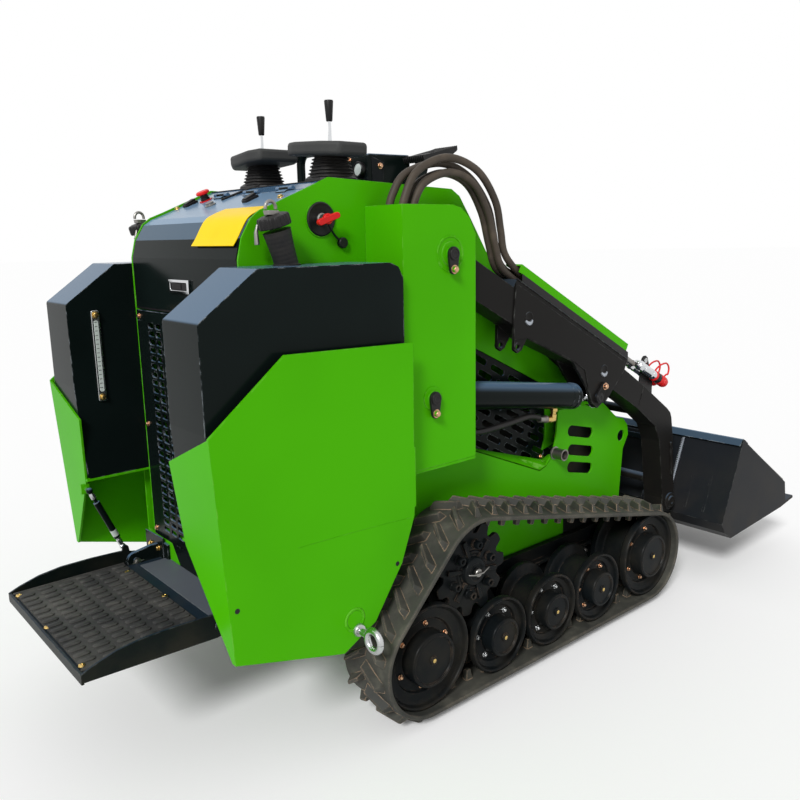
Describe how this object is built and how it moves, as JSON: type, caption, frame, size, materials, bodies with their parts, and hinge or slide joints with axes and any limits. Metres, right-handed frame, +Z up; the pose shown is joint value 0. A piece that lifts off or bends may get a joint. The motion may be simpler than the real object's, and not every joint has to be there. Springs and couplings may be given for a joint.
{
  "type": "skid steer loader",
  "caption": "Stand-on compact skid steer loader on rubber tracks with twin lift arms, bucket, twin levers, side tanks and a fold-up operator platform.",
  "frame": {"origin": "on the ground, on the centreline, halfway along the loader with its bucket down", "axes": "+X forward towards the bucket, +Y to the loader's left, +Z up"},
  "size_m": [2.637, 1.2, 1.564],
  "materials": {
    "green_paint": "gloss",
    "black_paint": "gloss",
    "track_rubber": "matte",
    "black_plastic": "matte",
    "hose_rubber": "matte",
    "mat_rubber": "matte",
    "bare_steel": "zinc plated",
    "chromed": "polished",
    "cast_block": "rough",
    "red_plastic": "gloss"
  },
  "bodies": {
    "chassis": {"chassis_frame": "green_paint", "platform_brackets": "black_paint", "engine_block": "cast_block", "body_shell": "green_paint", "console": "black_paint", "rear_grille": "black_paint", "side_grilles": "black_paint", "tower_left": "green_paint", "tower_right": "green_paint", "tank_left": "black_paint", "tank_right": "black_paint", "fender_left": "green_paint", "fender_right": "green_paint", "filler_necks": "black_plastic", "eye_bolts": "bare_steel", "control_pods": "hose_rubber", "levers": "chromed", "grab_bar": "black_paint", "front_box": "black_paint", "isolator": "red_plastic", "track_left": "track_rubber", "track_right": "track_rubber", "track_frame_left": "black_paint", "track_frame_right": "black_paint", "rollers_left": "black_paint", "rollers_right": "black_paint", "sprocket_left": "black_paint", "sprocket_right": "black_paint", "boom_hoses": "hose_rubber"},
    "boom": {"boom_arm_left": "black_paint", "boom_arm_right": "black_paint", "boom_cross": "black_paint", "hose_covers": "green_paint", "couplers": "bare_steel"},
    "bucket": {"bucket": "black_paint", "quick_attach": "black_paint"},
    "lift_barrels": {"lift_barrels": "black_paint"},
    "lift_rods": {"lift_rods": "chromed"},
    "tilt_barrel": {"tilt_barrel": "black_paint"},
    "tilt_rod": {"tilt_rod": "chromed"},
    "platform": {"platform": "black_paint", "platform_mat": "mat_rubber"},
    "strut_barrel": {"strut_barrel": "black_paint"},
    "strut_rod": {"strut_rod": "chromed"},
    "hood_lid": {"hood_lid": "black_paint"}
  },
  "joints": [
    {"name": "boom_lift", "type": "hinge", "parent": "chassis", "child": "boom", "pos_m": [-0.3875, 0, 1.18], "axis": [0, -1, 0], "range_deg": [0, 62], "deforming": ["boom_hoses"]},
    {"name": "bucket_tilt", "type": "hinge", "parent": "boom", "child": "bucket", "pos_m": [0.7155, 0, 0.273], "axis": [0, -1, 0], "range_deg": [-72, 25]},
    {"name": "lift_barrel_swing", "type": "hinge", "parent": "chassis", "child": "lift_barrels", "pos_m": [-0.4535, 0, 0.824], "axis": [0, -1, 0], "range_deg": [0, 53]},
    {"name": "lift_rod_slide", "type": "slide", "parent": "lift_barrels", "child": "lift_rods", "axis": [0.9893, 0, -0.146], "range_m": [0, 0.348]},
    {"name": "tilt_barrel_swing", "type": "hinge", "parent": "boom", "child": "tilt_barrel", "pos_m": [0.354, 0, 0.744], "axis": [0, -1, 0], "range_deg": [-3, 5]},
    {"name": "tilt_rod_slide", "type": "slide", "parent": "tilt_barrel", "child": "tilt_rod", "axis": [0.765, 0, -0.6441], "range_m": [-0.06, 0.18]},
    {"name": "platform_fold", "type": "hinge", "parent": "chassis", "child": "platform", "pos_m": [-0.982, 0, 0.327], "axis": [0, 1, 0], "range_deg": [0, 85]},
    {"name": "strut_swing", "type": "hinge", "parent": "chassis", "child": "strut_barrel", "pos_m": [-1.08, 0.288, 0.55], "axis": [0, 1, 0], "range_deg": [-15, 1]},
    {"name": "strut_slide", "type": "slide", "parent": "strut_barrel", "child": "strut_rod", "axis": [0.3878, 0, -0.9217], "range_m": [-0.001, 0.04]},
    {"name": "lid_open", "type": "hinge", "parent": "chassis", "child": "hood_lid", "pos_m": [-0.697, 0, 1.3445], "axis": [0, 1, 0], "range_deg": [0, 65]}
  ],
  "couplings": [
    {"joint": "lift_barrel_swing", "follows": "boom_lift", "ratio": 0.84},
    {"joint": "lift_rod_slide", "follows": "boom_lift", "m_per_rad": 0.319},
    {"joint": "tilt_barrel_swing", "follows": "bucket_tilt", "ratio": -0.03},
    {"joint": "tilt_rod_slide", "follows": "bucket_tilt", "m_per_rad": -0.131},
    {"joint": "strut_swing", "follows": "platform_fold", "ratio": -0.15},
    {"joint": "strut_slide", "follows": "platform_fold", "m_per_rad": 0.024}
  ]
}
